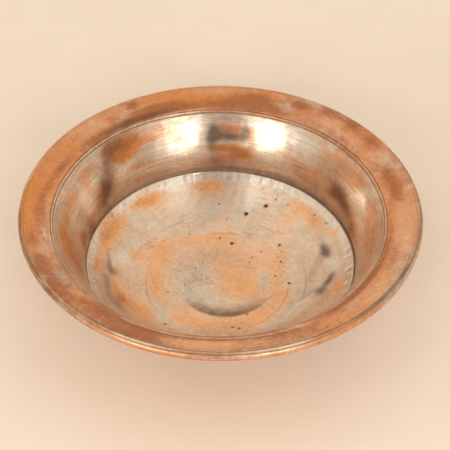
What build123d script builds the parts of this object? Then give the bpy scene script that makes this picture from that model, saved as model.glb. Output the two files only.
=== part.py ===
from build123d import *
import math
import os

# Wide-rimmed round basin of tinned copper sheet, raised with a hammer.
# Z is the axis of the basin. The origin is the centre of the flat underside.
# All lengths are in millimetres.

# ---- driving dimensions ----
RIM_RADIUS = 190.0       # outermost radius, over the rolled edge
WALL_SHEET = 1.3         # thickness of the wall and rim sheet
FLOOR_SHEET = 1.3        # thickness of the dished floor sheet
WIRE_RADIUS = 2.9        # iron ring inside the rolled edge
ROLL_TURN = 306.0        # how far the sheet wraps round the ring, degrees
FLANGE_SLOPE = 12.0      # fall of the flange towards the mouth, degrees
MOUTH_RADIUS = 156.5     # incised line where the flange turns down into the wall
MOUTH_DROP = 11.7        # that line below the rim top
WALL_FOOT_SLOPE = 83.0   # steepness of the wall at its foot, degrees
WALL_FOOT_RADIUS = 131.2 # inner face of the wall at its foot
CORNER_RADIUS = 1.2      # inner radius of the bend at the wall's foot
REST_RADIUS = 46.0       # flat disc in the middle of the floor
BELLY_RADIUS = 87.9      # where the floor's inner curve meets its outer one
BELLY_RISE = 9.6         # height of that circle above the flat disc
EDGE_RADIUS = 129.6      # upper edge of the floor sheet
EDGE_RISE = 37.3         # height of that edge above the flat disc
FLOOR_DEPTH = 106.5      # floor top in the middle, below the rim top
LAP_WIDTH = 9.0          # width of the inturned lap below the floor's edge
SOLDER_FILM = 0.12       # tin solder between the lapped sheets
WIRE_GAP = 4.0           # opening between the two ends of the iron ring

HEIGHT = FLOOR_DEPTH + FLOOR_SHEET   # rim top above the resting face


def unit(h):
    """Direction at h degrees above the horizontal, in the (radius, height) plane."""
    return math.cos(math.radians(h)), math.sin(math.radians(h))


def right_of(p, h, d):
    """The point d to the right of p for a path that heads at h degrees."""
    c, s = unit(h)
    return p[0] + d * s, p[1] - d * c


# ---- floor curve: flat disc, then two arcs that meet tangentially ----
floor_z = FLOOR_SHEET
inner_r = (BELLY_RADIUS - REST_RADIUS) ** 2 / (2 * BELLY_RISE) + BELLY_RISE / 2
belly_h = math.degrees(math.asin((BELLY_RADIUS - REST_RADIUS) / inner_r))
belly_pt = (BELLY_RADIUS, floor_z + BELLY_RISE)
chord_x, chord_y = EDGE_RADIUS - BELLY_RADIUS, EDGE_RISE - BELLY_RISE
chord_h = math.degrees(math.atan2(chord_y, chord_x))
edge_h = 2 * chord_h - belly_h
outer_r = math.hypot(chord_x, chord_y) / (2 * math.sin(math.radians((edge_h - belly_h) / 2)))
centre = right_of(belly_pt, belly_h, -outer_r)


def on_belly(radius, h):
    """Point on a circle about the outer arc's centre, where that circle heads at h."""
    return right_of(centre, h, radius)


under_r = outer_r + FLOOR_SHEET            # underside of the floor
lap_r = under_r + SOLDER_FILM              # upper face of the lap
lap_h0 = edge_h - math.degrees(LAP_WIDTH / lap_r)

# ---- wall foot: the bend from the lap into the wall ----
bend_rad = lap_r - CORNER_RADIUS
bend_x = WALL_FOOT_RADIUS - CORNER_RADIUS * math.sin(math.radians(WALL_FOOT_SLOPE))
lap_h1 = math.degrees(math.asin((bend_x - centre[0]) / bend_rad))
bend_centre = on_belly(bend_rad, lap_h1)
foot = right_of(bend_centre, WALL_FOOT_SLOPE, CORNER_RADIUS)

# ---- wall, mouth, flange and roll ----
mouth = (MOUTH_RADIUS, HEIGHT - MOUTH_DROP)
wall_chord = math.degrees(math.atan2(mouth[1] - foot[1], mouth[0] - foot[0]))
mouth_h = 2 * wall_chord - WALL_FOOT_SLOPE
wall_r = math.dist(mouth, foot) / (2 * math.sin(math.radians((WALL_FOOT_SLOPE - mouth_h) / 2)))
roll_r = WIRE_RADIUS + WALL_SHEET
roll_centre = (RIM_RADIUS - roll_r, HEIGHT - roll_r)
flange_end = right_of(roll_centre, FLANGE_SLOPE, -roll_r)
cf, sf = unit(FLANGE_SLOPE)
cm, sm = unit(mouth_h)
ax, ay = sm - sf, cf - cm
dx, dy = flange_end[0] - mouth[0], flange_end[1] - mouth[1]
det = ax * sf - ay * cf
mouth_r = (dx * sf - dy * cf) / det
flat_len = (ax * dy - ay * dx) / det
print(f"wall foot {foot[0]:.2f},{foot[1]:.2f}  mouth slope {mouth_h:.1f}  wall radius {wall_r:.1f}")
print(f"mouth curve {mouth_r:.2f}  flat part of flange {flat_len:.2f}  lap from {lap_h0:.2f} to {lap_h1:.2f}  floor edge slope {edge_h:.2f}")
print(f"belly slope {belly_h:.2f}  floor inner radius {inner_r:.1f}  outer radius {outer_r:.1f}  overall height {HEIGHT:.1f}")

# The sheet's face towards the user, from the inner end of the lap to the tail of
# the roll: ("line", length) or ("arc", radius, turn), where a left turn is positive.
sheet_path = [
    ("arc", lap_r, lap_h1 - lap_h0),
    ("arc", CORNER_RADIUS, WALL_FOOT_SLOPE - lap_h1),
    ("arc", wall_r, -(WALL_FOOT_SLOPE - mouth_h)),
    ("arc", mouth_r, -(mouth_h - FLANGE_SLOPE)),
    ("line", flat_len),
    ("arc", roll_r, -ROLL_TURN),
]


def face_of_sheet(p, h, path, shift):
    """Draws the path moved shift to the right into the open line context."""
    p = right_of(p, h, shift)
    first = p
    for step in path:
        if step[0] == "line":
            c, s = unit(h)
            q = (p[0] + c * step[1], p[1] + s * step[1])
            Line(p, q)
            p = q
        else:
            radius, turn = step[1], step[2]
            radius = radius + shift if turn > 0 else radius - shift
            arc = JernArc(start=p, tangent=unit(h), radius=radius, arc_size=turn)
            h = h + turn
            p = ((arc @ 1).X, (arc @ 1).Y)
    return first, p


# ---- wall_and_rim: lap, wall, mouth, flange and rolled edge from one sheet ----
with BuildPart() as wall_and_rim:
    with BuildSketch(Plane.XZ) as wall_sk:
        with BuildLine() as wall_ln:
            start = on_belly(lap_r, lap_h0)
            a0, a1 = face_of_sheet(start, lap_h0, sheet_path, 0.0)
            b0, b1 = face_of_sheet(start, lap_h0, sheet_path, WALL_SHEET)
            Line(a0, b0)
            Line(a1, b1)
        make_face()
    revolve(axis=Axis.Z, revolution_arc=360)
wall_and_rim.part.label = "wall_and_rim"

# ---- rim_wire: iron ring with a small opening where its ends come together ----
gap_angle = math.degrees(WIRE_GAP / roll_centre[0])
with BuildPart() as rim_wire:
    with BuildSketch(Plane.XZ) as wire_sk:
        with BuildLine() as wire_ln:
            CenterArc(roll_centre, WIRE_RADIUS, 0, 360)
        make_face()
    revolve(axis=Axis.Z, revolution_arc=360 - gap_angle)
rim_wire.part.label = "rim_wire"

# ---- floor_dish: separate dished sheet lapped over the wall's inturned foot ----
with BuildPart() as floor_dish:
    with BuildSketch(Plane.XZ) as floor_sk:
        with BuildLine() as floor_ln:
            Line((0, 0), (0, floor_z))
            Line((0, floor_z), (REST_RADIUS, floor_z))
            t1 = JernArc(start=(REST_RADIUS, floor_z), tangent=(1, 0), radius=inner_r, arc_size=belly_h)
            t2 = JernArc(start=t1 @ 1, tangent=unit(belly_h), radius=outer_r, arc_size=edge_h - belly_h)
            Line((0, 0), (REST_RADIUS, 0))
            u1 = JernArc(start=(REST_RADIUS, 0), tangent=(1, 0), radius=inner_r + FLOOR_SHEET, arc_size=belly_h)
            u2 = JernArc(start=u1 @ 1, tangent=unit(belly_h), radius=under_r, arc_size=edge_h - belly_h)
            Line(t2 @ 1, u2 @ 1)
        make_face()
    revolve(axis=Axis.Z, revolution_arc=360)
    # the hammered edge of the floor sheet is eased where it shows
    rim_edge = floor_dish.edges().filter_by(GeomType.CIRCLE).sort_by(Axis.Z)[-1]
    chamfer(rim_edge, length=0.35)
floor_dish.part.label = "floor_dish"

# ---- seam_solder: tin between the lapped sheets, with a bead on each side ----
bead_top = on_belly(outer_r + 0.6, edge_h)
edge_foot = on_belly(under_r, edge_h)
tail = on_belly(under_r, lap_h0 - 0.15)
tail_foot = on_belly(lap_r + 0.8, lap_h0)
with BuildPart() as seam_solder:
    with BuildSketch(Plane.XZ) as solder_sk:
        with BuildLine() as solder_ln:
            s1 = JernArc(start=tail, tangent=unit(lap_h0 - 0.15), radius=under_r, arc_size=edge_h - lap_h0 + 0.15)
            Line(s1 @ 1, bead_top)
            Line(bead_top, foot)
            s2 = JernArc(start=on_belly(lap_r, lap_h0), tangent=unit(lap_h0), radius=lap_r, arc_size=lap_h1 - lap_h0)
            s3 = JernArc(start=s2 @ 1, tangent=unit(lap_h1), radius=CORNER_RADIUS, arc_size=WALL_FOOT_SLOPE - lap_h1)
            Line(on_belly(lap_r, lap_h0), tail_foot)
            Line(tail_foot, tail)
        make_face()
    revolve(axis=Axis.Z, revolution_arc=360)
seam_solder.part.label = "seam_solder"

os.makedirs("parts", exist_ok=True)
for name, piece in (
    ("wall_and_rim", wall_and_rim),
    ("rim_wire", rim_wire),
    ("floor_dish", floor_dish),
    ("seam_solder", seam_solder),
):
    export_step(piece.part, f"parts/{name}.step")
    print(name, "volume", round(piece.part.volume, 1), "box", piece.part.bounding_box())
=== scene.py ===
import math
import bpy
import numpy as np
from mathutils import Matrix, Vector


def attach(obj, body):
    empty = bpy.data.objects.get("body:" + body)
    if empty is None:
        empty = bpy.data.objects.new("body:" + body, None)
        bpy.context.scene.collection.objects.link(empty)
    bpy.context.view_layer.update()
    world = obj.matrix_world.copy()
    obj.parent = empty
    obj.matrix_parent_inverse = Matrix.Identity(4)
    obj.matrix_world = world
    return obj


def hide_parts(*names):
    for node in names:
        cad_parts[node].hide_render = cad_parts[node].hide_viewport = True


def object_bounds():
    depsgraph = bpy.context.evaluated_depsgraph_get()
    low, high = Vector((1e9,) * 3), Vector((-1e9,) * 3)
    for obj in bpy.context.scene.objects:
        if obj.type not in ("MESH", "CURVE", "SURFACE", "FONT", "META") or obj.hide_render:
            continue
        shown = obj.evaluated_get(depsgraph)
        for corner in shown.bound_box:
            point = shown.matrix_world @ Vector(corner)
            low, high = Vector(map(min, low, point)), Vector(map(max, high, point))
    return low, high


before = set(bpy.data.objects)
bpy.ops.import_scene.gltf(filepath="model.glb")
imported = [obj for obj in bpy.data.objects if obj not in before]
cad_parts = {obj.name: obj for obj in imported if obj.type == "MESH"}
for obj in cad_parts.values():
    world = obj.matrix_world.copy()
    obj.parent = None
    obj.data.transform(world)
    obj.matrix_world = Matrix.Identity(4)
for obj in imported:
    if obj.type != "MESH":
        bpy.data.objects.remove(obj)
CAD_LO, CAD_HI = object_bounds()
scene = bpy.context.scene
rng = np.random.default_rng(7331)
TAU = 2 * math.pi

# ------------------------------------------------------------------ sizes, in millimetres
H = CAD_HI.z * 1000.0
RIM = CAD_HI.x * 1000.0
T = 1.3                       # sheet
WIRE = 2.9
ROLL = WIRE + T
TURN = 306.0
FLANGE = 12.0
MOUTH = (156.5, H - 11.7)
FOOT_H = 83.0
FOOT_R = 131.2
BEND = 1.2
REST_R, BELLY_R, BELLY_UP, EDGE_R, EDGE_UP = 46.0, 87.9, 9.6, 129.6, 37.3
FILM = 0.12
LAP = 9.0


def unit(h):
    return math.cos(math.radians(h)), math.sin(math.radians(h))


def right_of(p, h, d):
    c, s = unit(h)
    return p[0] + d * s, p[1] - d * c


inner_r = (BELLY_R - REST_R) ** 2 / (2 * BELLY_UP) + BELLY_UP / 2
belly_h = math.degrees(math.asin((BELLY_R - REST_R) / inner_r))
belly_pt = (BELLY_R, T + BELLY_UP)
chord_h = math.degrees(math.atan2(EDGE_UP - BELLY_UP, EDGE_R - BELLY_R))
edge_h = 2 * chord_h - belly_h
outer_r = math.hypot(EDGE_R - BELLY_R, EDGE_UP - BELLY_UP) / (2 * math.sin(math.radians((edge_h - belly_h) / 2)))
centre = right_of(belly_pt, belly_h, -outer_r)


def on_belly(radius, h):
    return right_of(centre, h, radius)


under_r = outer_r + T
lap_r = under_r + FILM
lap_h0 = edge_h - math.degrees(LAP / lap_r)
bend_rad = lap_r - BEND
lap_h1 = math.degrees(math.asin((FOOT_R - BEND * math.sin(math.radians(FOOT_H)) - centre[0]) / bend_rad))
foot = right_of(on_belly(bend_rad, lap_h1), FOOT_H, BEND)
wall_chord = math.degrees(math.atan2(MOUTH[1] - foot[1], MOUTH[0] - foot[0]))
mouth_h = 2 * wall_chord - FOOT_H
wall_r = math.dist(MOUTH, foot) / (2 * math.sin(math.radians((FOOT_H - mouth_h) / 2)))
roll_c = (RIM - ROLL, H - ROLL)
flange_end = right_of(roll_c, FLANGE, -ROLL)
cf, sf = unit(FLANGE)
cm, sm = unit(mouth_h)
ax_, ay_ = sm - sf, cf - cm
dx_, dy_ = flange_end[0] - MOUTH[0], flange_end[1] - MOUTH[1]
det = ax_ * sf - ay_ * cf
mouth_r = (dx_ * sf - dy_ * cf) / det
flat_len = (ax_ * dy_ - ay_ * dx_) / det

# ------------------------------------------------------------------ seeded noise on arrays


def _hash(ix, iy, iz, seed):
    n = (ix.astype(np.int64) * 374761393 + iy.astype(np.int64) * 668265263 + iz.astype(np.int64) * 2147483647 + seed * 1442695041) & 0x7FFFFFFF
    n = ((n ^ (n >> 13)) * 1274126177) & 0x7FFFFFFF
    n = ((n ^ (n >> 15)) * 668265263) & 0x7FFFFFFF
    return ((n ^ (n >> 16)) & 0xFFFF) / 65535.0


def noise3(x, y, z, seed=0):
    """Smooth value noise, -1..1."""
    ix, iy, iz = np.floor(x), np.floor(y), np.floor(z)
    fx, fy, fz = x - ix, y - iy, z - iz
    fx, fy, fz = (f * f * f * (f * (f * 6 - 15) + 10) for f in (fx, fy, fz))
    out = 0.0
    for a in (0, 1):
        for b in (0, 1):
            for c in (0, 1):
                w = (fx if a else 1 - fx) * (fy if b else 1 - fy) * (fz if c else 1 - fz)
                out = out + w * _hash(ix + a, iy + b, iz + c, seed)
    return out * 2 - 1


def ring_noise(th, s, around, across, seed=0, octaves=2):
    """Noise over a band: about `around` features round the ring, `across` mm between features along s."""
    k = around / TAU
    out, amp, tot = 0.0, 1.0, 0.0
    for o in range(octaves):
        f = 2.0 ** o
        out = out + amp * noise3(np.cos(th) * k * f + 11.3, np.sin(th) * k * f + 5.1, s / across * f, seed + o)
        tot += amp
        amp *= 0.5
    return out / tot


def hammer(s, th, r, ds, arc, seed, curve=150.0, jit=0.35):
    """Height of overlapping shallow hammer marks laid in rings: 0 at a mark's middle, up at its border."""
    best = np.full(s.shape, 1e9)
    k0 = np.floor(s / ds)
    for dk in (-1, 0, 1, 2):
        k = k0 + dk
        n = np.maximum(3, np.round(TAU * np.maximum(r, 1.0) / arc))
        # one count per ring, so that marks of a ring line up
        rk = np.round(n / 4) * 4
        step = TAU / rk
        off = 0.5 * (k % 2) + 0.37 * k
        j0 = np.floor(th / step - off)
        for dj in (-1, 0, 1, 2):
            j = j0 + dj
            jm = np.mod(j, rk)
            a = _hash(k, jm, 0 * k, seed)
            b = _hash(k, jm, 0 * k + 7, seed)
            c = _hash(k, jm, 0 * k + 13, seed)
            dt = th - (j + off + (a - 0.5) * jit) * step
            dv = s - (k + (b - 0.5) * jit) * ds
            du = dt * r
            best = np.minimum(best, (du * du + dv * dv) / (2 * curve * (0.75 + 0.6 * c)) + 0.03 * (c - 0.5))
    return best


def bump(x, c, w):
    return np.exp(-((x - c) / w) ** 2)


def smooth(a, b, x):
    t = np.clip((x - a) / (b - a), 0, 1)
    return t * t * (3 - 2 * t)


def blob(th, s, t0, s0, dt, ds, tilt=0.0, power=2.0):
    """Soft patch on a band. t0, dt in degrees, s0, ds in millimetres."""
    a = np.degrees(np.angle(np.exp(1j * (th - math.radians(t0))))) / dt
    b = (s - s0) / ds
    a, b = a + tilt * b, b
    return np.exp(-(np.abs(a) ** power + np.abs(b) ** power))


# ------------------------------------------------------------------ mesh helpers


def closed_ring_mesh(name, rings, th):
    """A surface from rings (each an (n,3) array round the axis), joined in order, the last to the first."""
    n = len(th)
    V = np.concatenate(rings, 0) / 1000.0
    m = len(rings)
    i = np.arange(n)
    faces = []
    for k in range(m):
        a, b = k * n, ((k + 1) % m) * n
        faces.append(np.stack([a + i, a + (i + 1) % n, b + (i + 1) % n, b + i], 1))
    F = np.concatenate(faces, 0)
    mesh = bpy.data.meshes.new(name)
    mesh.vertices.add(len(V))
    mesh.vertices.foreach_set("co", V.astype(np.float32).ravel())
    mesh.loops.add(F.size)
    mesh.loops.foreach_set("vertex_index", F.astype(np.int32).ravel())
    mesh.polygons.add(len(F))
    mesh.polygons.foreach_set("loop_start", (np.arange(len(F)) * 4).astype(np.int32))
    mesh.polygons.foreach_set("loop_total", np.full(len(F), 4, np.int32))
    mesh.polygons.foreach_set("use_smooth", np.ones(len(F), bool))
    mesh.update(calc_edges=True)
    mesh.validate()
    ob = bpy.data.objects.new(name, mesh)
    scene.collection.objects.link(ob)
    return ob


def put_attr(ob, name, rgba):
    a = ob.data.attributes.new(name, "FLOAT_COLOR", "POINT")
    a.data.foreach_set("color", np.clip(rgba, 0, 1).astype(np.float32).ravel())


def sample_path(p, h, path, shift, plan):
    """Points, headings and arc lengths along the sheet's face, moved shift to its right. plan gives each step's fractions."""
    p = right_of(p, h, shift)
    R, Z, HD, S, K = [], [], [], [], []
    s = 0.0
    for i, (step, ts) in enumerate(zip(path, plan)):
        for t in ts:
            if step[0] == "line":
                c, sn = unit(h)
                q, hd, ls = (p[0] + c * step[1] * t, p[1] + sn * step[1] * t), h, step[1] * t
            else:
                turn = step[2]
                rad = step[1] + shift if turn > 0 else step[1] - shift
                cen = right_of(p, h, -rad) if turn > 0 else right_of(p, h, rad)
                hd = h + turn * t
                q = right_of(cen, hd, rad) if turn > 0 else right_of(cen, hd, -rad)
                ls = step[1] * math.radians(abs(turn)) * t
            R.append(q[0]); Z.append(q[1]); HD.append(hd); S.append(s + ls); K.append(i)
        if step[0] == "line":
            c, sn = unit(h)
            p = (p[0] + c * step[1], p[1] + sn * step[1])
            s += step[1]
        else:
            turn = step[2]
            rad = step[1] + shift if turn > 0 else step[1] - shift
            cen = right_of(p, h, -rad) if turn > 0 else right_of(p, h, rad)
            h = h + turn
            p = right_of(cen, h, rad) if turn > 0 else right_of(cen, h, -rad)
            s += step[1] * math.radians(abs(turn))
    return tuple(np.array(v) for v in (R, Z, HD, S, K))


PATH = [
    ("arc", lap_r, lap_h1 - lap_h0),
    ("arc", BEND, FOOT_H - lap_h1),
    ("arc", wall_r, -(FOOT_H - mouth_h)),
    ("arc", mouth_r, -(mouth_h - FLANGE)),
    ("line", flat_len),
    ("arc", ROLL, -TURN),
]
LENS = [st[1] if st[0] == "line" else st[1] * math.radians(abs(st[2])) for st in PATH]
S_FOOT = LENS[0] + LENS[1]          # arc length at the wall's foot
S_MOUTH = S_FOOT + LENS[2] - S_FOOT  # measured from the foot, at the mouth line
S_ROLL = LENS[2] + LENS[3] + LENS[4]


def spread(length, marks, fine, coarse, reach):
    """Fractions along a step of that length, close together near the marks."""
    xs, x = [0.0], 0.0
    while x < length:
        d = min([abs(x - m) for m in marks] + [1e9])
        x += fine if d < reach else coarse
        xs.append(min(x, length))
    xs = np.array(xs) / length
    return xs[:-1]


# ------------------------------------------------------------------ where the sheets are off centre
def mouth_shift(s):
    """Sideways shift of the rings, in mm: the mouth was raised a little off the rim's centre."""
    return -2.2 * np.exp(-((s - 60) / 34.0) ** 2)


# ------------------------------------------------------------------ wall, flange and roll
NT = 420
th = np.arange(NT) * TAU / NT
plan = [
    np.linspace(0, 1, 5)[:-1],
    np.linspace(0, 1, 5)[:-1],
    spread(LENS[2], [0, LENS[2] - 1.0], 0.45, 1.25, 3.0),
    spread(LENS[3], [2.0], 0.38, 1.25, 4.0),
    spread(LENS[4], [LENS[4] - 3.3, LENS[4]], 0.42, 1.3, 1.2),
    np.concatenate([spread(LENS[5] * 0.55, [0, 3.15], 0.33, 0.6, 1.1) * 0.55, np.linspace(0.55, 1.0, 16)]),
]
start = on_belly(lap_r, lap_h0)
Ri, Zi, Hi, Si, Ki = sample_path(start, lap_h0, PATH, 0.0, plan)
Si = Si - S_FOOT
keep = np.array([i for i in range(len(Ri)) if i % 2 == 0 or Ki[i] in (0, 1) or i == len(Ri) - 1 or (Ki[i] == 5 and i % 2 == 0)])
Ro, Zo, Ho, So, Ko = sample_path(start, lap_h0, PATH, T, plan)
Ro, Zo, Ho, So, Ko = (v[keep] for v in (Ro, Zo, Ho, So - S_FOOT, Ko))


def wall_rings(R, Z, Hd, S, outside):
    rings, info = [], []
    for r, z, hd, s in zip(R, Z, Hd, S):
        S_ = np.full(NT, s)
        # large soft unevenness of hand work, the same on both faces
        warp = 0.35 * ring_noise(th, S_, 9, 60, 3, 1) * smooth(-2, 20, s)
        dzr = 0.5 * ring_noise(th, S_, 5, 400, 21, 1) * smooth(60, 95, s)
        d = warp.copy()
        if not outside:
            d += fine_wall(S_, th, r)
        else:
            d -= 0.9 * (hammer(S_, th, r, 12.0, 14.5, 55, 66.0, 0.5) - 0.2) * smooth(-1, 4, s) * (1 - smooth(S_ROLL - 4, S_ROLL, s))
        c, sn = unit(hd)
        nx, nz = -sn, c           # left of the heading: towards the user
        if outside:
            nx, nz = -sn, c
        rr = r + d * nx
        zz = z + d * nz + dzr
        sh = mouth_shift(s)
        rings.append(np.stack([rr * np.cos(th) + sh, rr * np.sin(th), zz], 1))
        info.append(S_)
    return rings, info


def fine_wall(S, th, r):
    """Relief of the face that shows: hammer marks and turned lines, in mm."""
    s = S[0]
    d = np.zeros_like(th)
    on_flange = smooth(S_MOUTH + 2, S_MOUTH + 8, s) * (1 - smooth(S_ROLL - 4.5, S_ROLL - 3.0, s))
    on_wall = smooth(1.0, 5.0, s) * (1 - smooth(S_MOUTH - 4, S_MOUTH - 1, s))
    d -= 0.75 * (0.11 - hammer(S, th, r, 9.5, 12.0, 5, 150.0)) * on_flange
    d -= 0.8 * (0.13 - hammer(S, th, r, 12.5, 15.5, 9, 210.0)) * on_wall
    # lines cut round the mouth
    wob = 0.35 * ring_noise(th, S, 14, 300, 31, 1)
    x = S + wob
    d -= 0.42 * bump(x, S_MOUTH + 0.2, 0.75)
    d += 0.26 * bump(x, S_MOUTH + 1.7, 0.85)
    d -= 0.22 * bump(x, S_MOUTH + 3.6, 0.55)
    d += 0.16 * bump(x, S_MOUTH + 4.6, 0.7)
    # lines along the rolled edge
    broken = 0.55 + 0.45 * ring_noise(th, S, 22, 300, 41, 2)
    d -= 0.34 * bump(x, S_ROLL + 0.1, 0.65)
    d -= 0.17 * bump(x, S_ROLL - 3.3, 0.55) * broken
    d -= 0.20 * bump(S + 0.2 * wob, S_ROLL + 3.15, 0.5)
    # planished roll
    on_roll = smooth(S_ROLL + 0.5, S_ROLL + 1.5, s) * (1 - smooth(S_ROLL + 17, S_ROLL + 19, s))
    d += 0.14 * ring_noise(th, S, 95, 9, 47, 1) * on_roll
    return d


ri, _ = wall_rings(Ri, Zi, Hi, Si, False)
ro, _ = wall_rings(Ro, Zo, Ho, So, True)
rings = ri + ro[::-1]
wall = closed_ring_mesh("wall_and_flange", rings, th)
wall.data.flip_normals()
TH_i, S_i = np.meshgrid(th, Si)
TH_o, S_o = np.meshgrid(th, So)

# ------------------------------------------------------------------ floor
NF = 640
tf = np.arange(NF) * TAU / NF
C1_R, C2_R = 87.9, 71.0


def floor_z(r, under=False):
    """Height of the floor's face at radius r (nominal)."""
    r = np.asarray(r, float)
    add = T if under else 0.0
    base = 0.0 if under else T
    z = np.full(r.shape, base)
    a = inner_r + add
    m = r > REST_R
    dx = np.minimum(r - REST_R, a * math.sin(math.radians(belly_h)) + 50)
    q = m & (dx <= a * math.sin(math.radians(belly_h)))
    z = np.where(q, base + a - np.sqrt(np.maximum(a * a - dx * dx, 0)), z)
    o = outer_r + add
    z2 = centre[1] - np.sqrt(np.maximum(o * o - (r - centre[0]) ** 2, 0))
    z = np.where(m & ~q, z2, z)
    return z


def floor_shift(r):
    return -0.7 - 2.7 * (1 - smooth(96, 126, np.asarray(r, float)))


marks = [C2_R, C1_R]
rr_list = [1.2]
x = 1.2
while x < 123.0:
    d = min(abs(x - m) for m in marks)
    x += 0.45 if d < 1.6 else (1.7 if x > 8 else 1.2)
    rr_list.append(x)
rr_list = [v for v in rr_list if v < 123.0] + list(np.linspace(123.0, EDGE_R - 0.25, 14))
RF = np.array(rr_list)


# pits: x, y and radius in mm; scratches: from and to, in mm
PITS = [
    (46.4, 95.1, 2.3), (26.0, 90.4, 2.3), (11.2, 58.7, 1.9), (59.8, 50.7, 1.6), (-2.3, 101.5, 1.3), (60.8, 30.3, 1.05),
    (54.5, 11.5, 1.05), (68.1, -0.9, 1.3), (70.0, -3.5, 0.9), (-52.1, -11.5, 1.0), (-1.1, 65.5, 1.2), (8.4, -39.3, 1.1),
    (26.0, -43.5, 1.1), (11.7, -61.7, 1.2), (18.0, -64.0, 1.2), (107.4, 57.5, 1.0), (105.6, 59.6, 0.9), (95.2, 71.8, 0.9),
    (-32.0, 68.2, 1.0), (31.7, 39.0, 0.9), (42.0, 46.6, 0.9), (29.5, 32.1, 0.8), (-25.1, 22.8, 0.9), (-35.4, -1.4, 0.9),
    (-18.2, 31.7, 0.8), (68.9, 90.9, 0.8), (6.0, 85.5, 0.8), (-53.0, -59.6, 1.4), (56.7, 99.8, 0.8),
]
SCRATCHES = [
    (-58, 71, -35, 84), (4, 73, 22, 67), (-78, 44, -71, 54), (-38, -17, -31, -7), (-102, 41, -108, 23), (-7, 32, -2, 49),
    (56, 69, 66, 59), (20, 72, 38, 65), (44, -26, 54, -12), (-69, 6, -62, -12), (0, 120, 19, 118),
]


def pit_field(X, Y):
    """0..1 depth of the pits at plan points."""
    d = np.zeros(X.shape)
    for x0, y0, r0 in PITS:
        q = np.hypot((X - x0) / 1.15, Y - y0) / r0
        d = np.maximum(d, np.clip(1.25 - q * q * 0.9, 0, 1))
    return d


def scratch_field(X, Y):
    d = np.zeros(X.shape)
    for x0, y0, x1, y1 in SCRATCHES:
        L = math.hypot(x1 - x0, y1 - y0)
        ux, uy = (x1 - x0) / L, (y1 - y0) / L
        t = ((X - x0) * ux + (Y - y0) * uy) / L
        n = (X - x0) * -uy + (Y - y0) * ux - 1.5 * (t - 0.5) ** 2 * 4
        d = np.maximum(d, np.exp(-(n / 0.7) ** 2) * smooth(0, 0.2, t) * (1 - smooth(0.8, 1.0, t)))
    return d


def circle_seen(t, which):
    """How much is left of each engraved circle at plan angle t, 0..1."""
    arcs = {1: ((155, 7, 0.8), (128, 8, 0.7), (55, 7, 0.8), (355, 16, 1.0), (325, 20, 0.5), (190, 14, 0.3), (95, 14, 0.2)),
            2: ((185, 16, 1.0), (88, 9, 0.8), (345, 16, 1.0), (315, 22, 0.6), (210, 14, 0.4), (40, 14, 0.3))}[which]
    w = np.full(np.shape(t), 0.06)
    for a0, da, k in arcs:
        dd = np.degrees(np.angle(np.exp(1j * (t - math.radians(a0)))))
        w = w + k * np.exp(-(dd / da) ** 4)
    return np.clip(w, 0, 1)


def floor_relief(r, t):
    d = np.zeros_like(t)
    R_ = np.full_like(t, r)
    d -= 0.8 * (0.10 - hammer(R_, t, r, 11.0, 13.0, 71, 190.0)) * smooth(6, 16, r) * (1 - smooth(118, 122, r))
    d += 0.25 * ring_noise(t, R_, 7, 45, 77, 2)
    # small blows that closed the lap, across the seam
    band = smooth(120.5, 125.5, r)
    d -= band * 0.50 * np.clip(ring_noise(t, R_, 250, 300, 83, 1) + 0.15, 0, 1)
    d += band * 0.22 * ring_noise(t, R_, 60, 40, 85, 1)
    # engraved circles, worn through in places
    b1, b2 = circle_seen(t, 1), circle_seen(t, 2)
    d -= 0.11 * bump(r, C1_R, 0.55) * b1
    d -= 0.11 * bump(r, C2_R, 0.55) * b2
    X, Y = r * np.cos(t) + float(floor_shift(r)), r * np.sin(t)
    d -= 0.55 * pit_field(X, Y)
    d -= 0.06 * scratch_field(X, Y)
    return d + floor_warp(X, Y, R_)


def floor_warp(X, Y, R_):
    """Dents and the turn round the flat middle: the same on both faces."""
    A = np.degrees(np.arctan2(Y, X))
    RC = np.hypot(X - 5.0, Y)
    A = np.degrees(np.arctan2(Y, X - 5.0))
    t = np.clip((RC - 25.0) / 22.0, 0, 1)
    up_turn = 3.4 * t ** 2.2 * (1 - smooth(52, 92, RC))
    d = up_turn * np.exp(-((A + 86) / 66) ** 4)
    for x0, y0, w0, h0, dep in ((-108, 6, 10, 16, 0.6), (103, 26, 10, 13, 0.5), (101, -24, 12, 12, 0.6), (-94, -34, 13, 13, 0.6), (66, -40, 16, 12, 0.4)):
        d = d - dep * np.exp(-((X - x0) / w0) ** 2 - ((Y - y0) / h0) ** 2)
    return d


rings_f = []
sf_list = []
for r in RF:
    d = floor_relief(r, tf)
    hd = math.atan2(float(floor_z(r + 0.2) - floor_z(r - 0.2)), 0.4)
    rr = r - d * math.sin(hd)
    zz = float(floor_z(r)) + d * math.cos(hd)
    sh = float(floor_shift(r))
    rings_f.append(np.stack([rr * np.cos(tf) + sh, rr * np.sin(tf), zz], 1))
    sf_list.append(np.full(NF, r))
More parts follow.
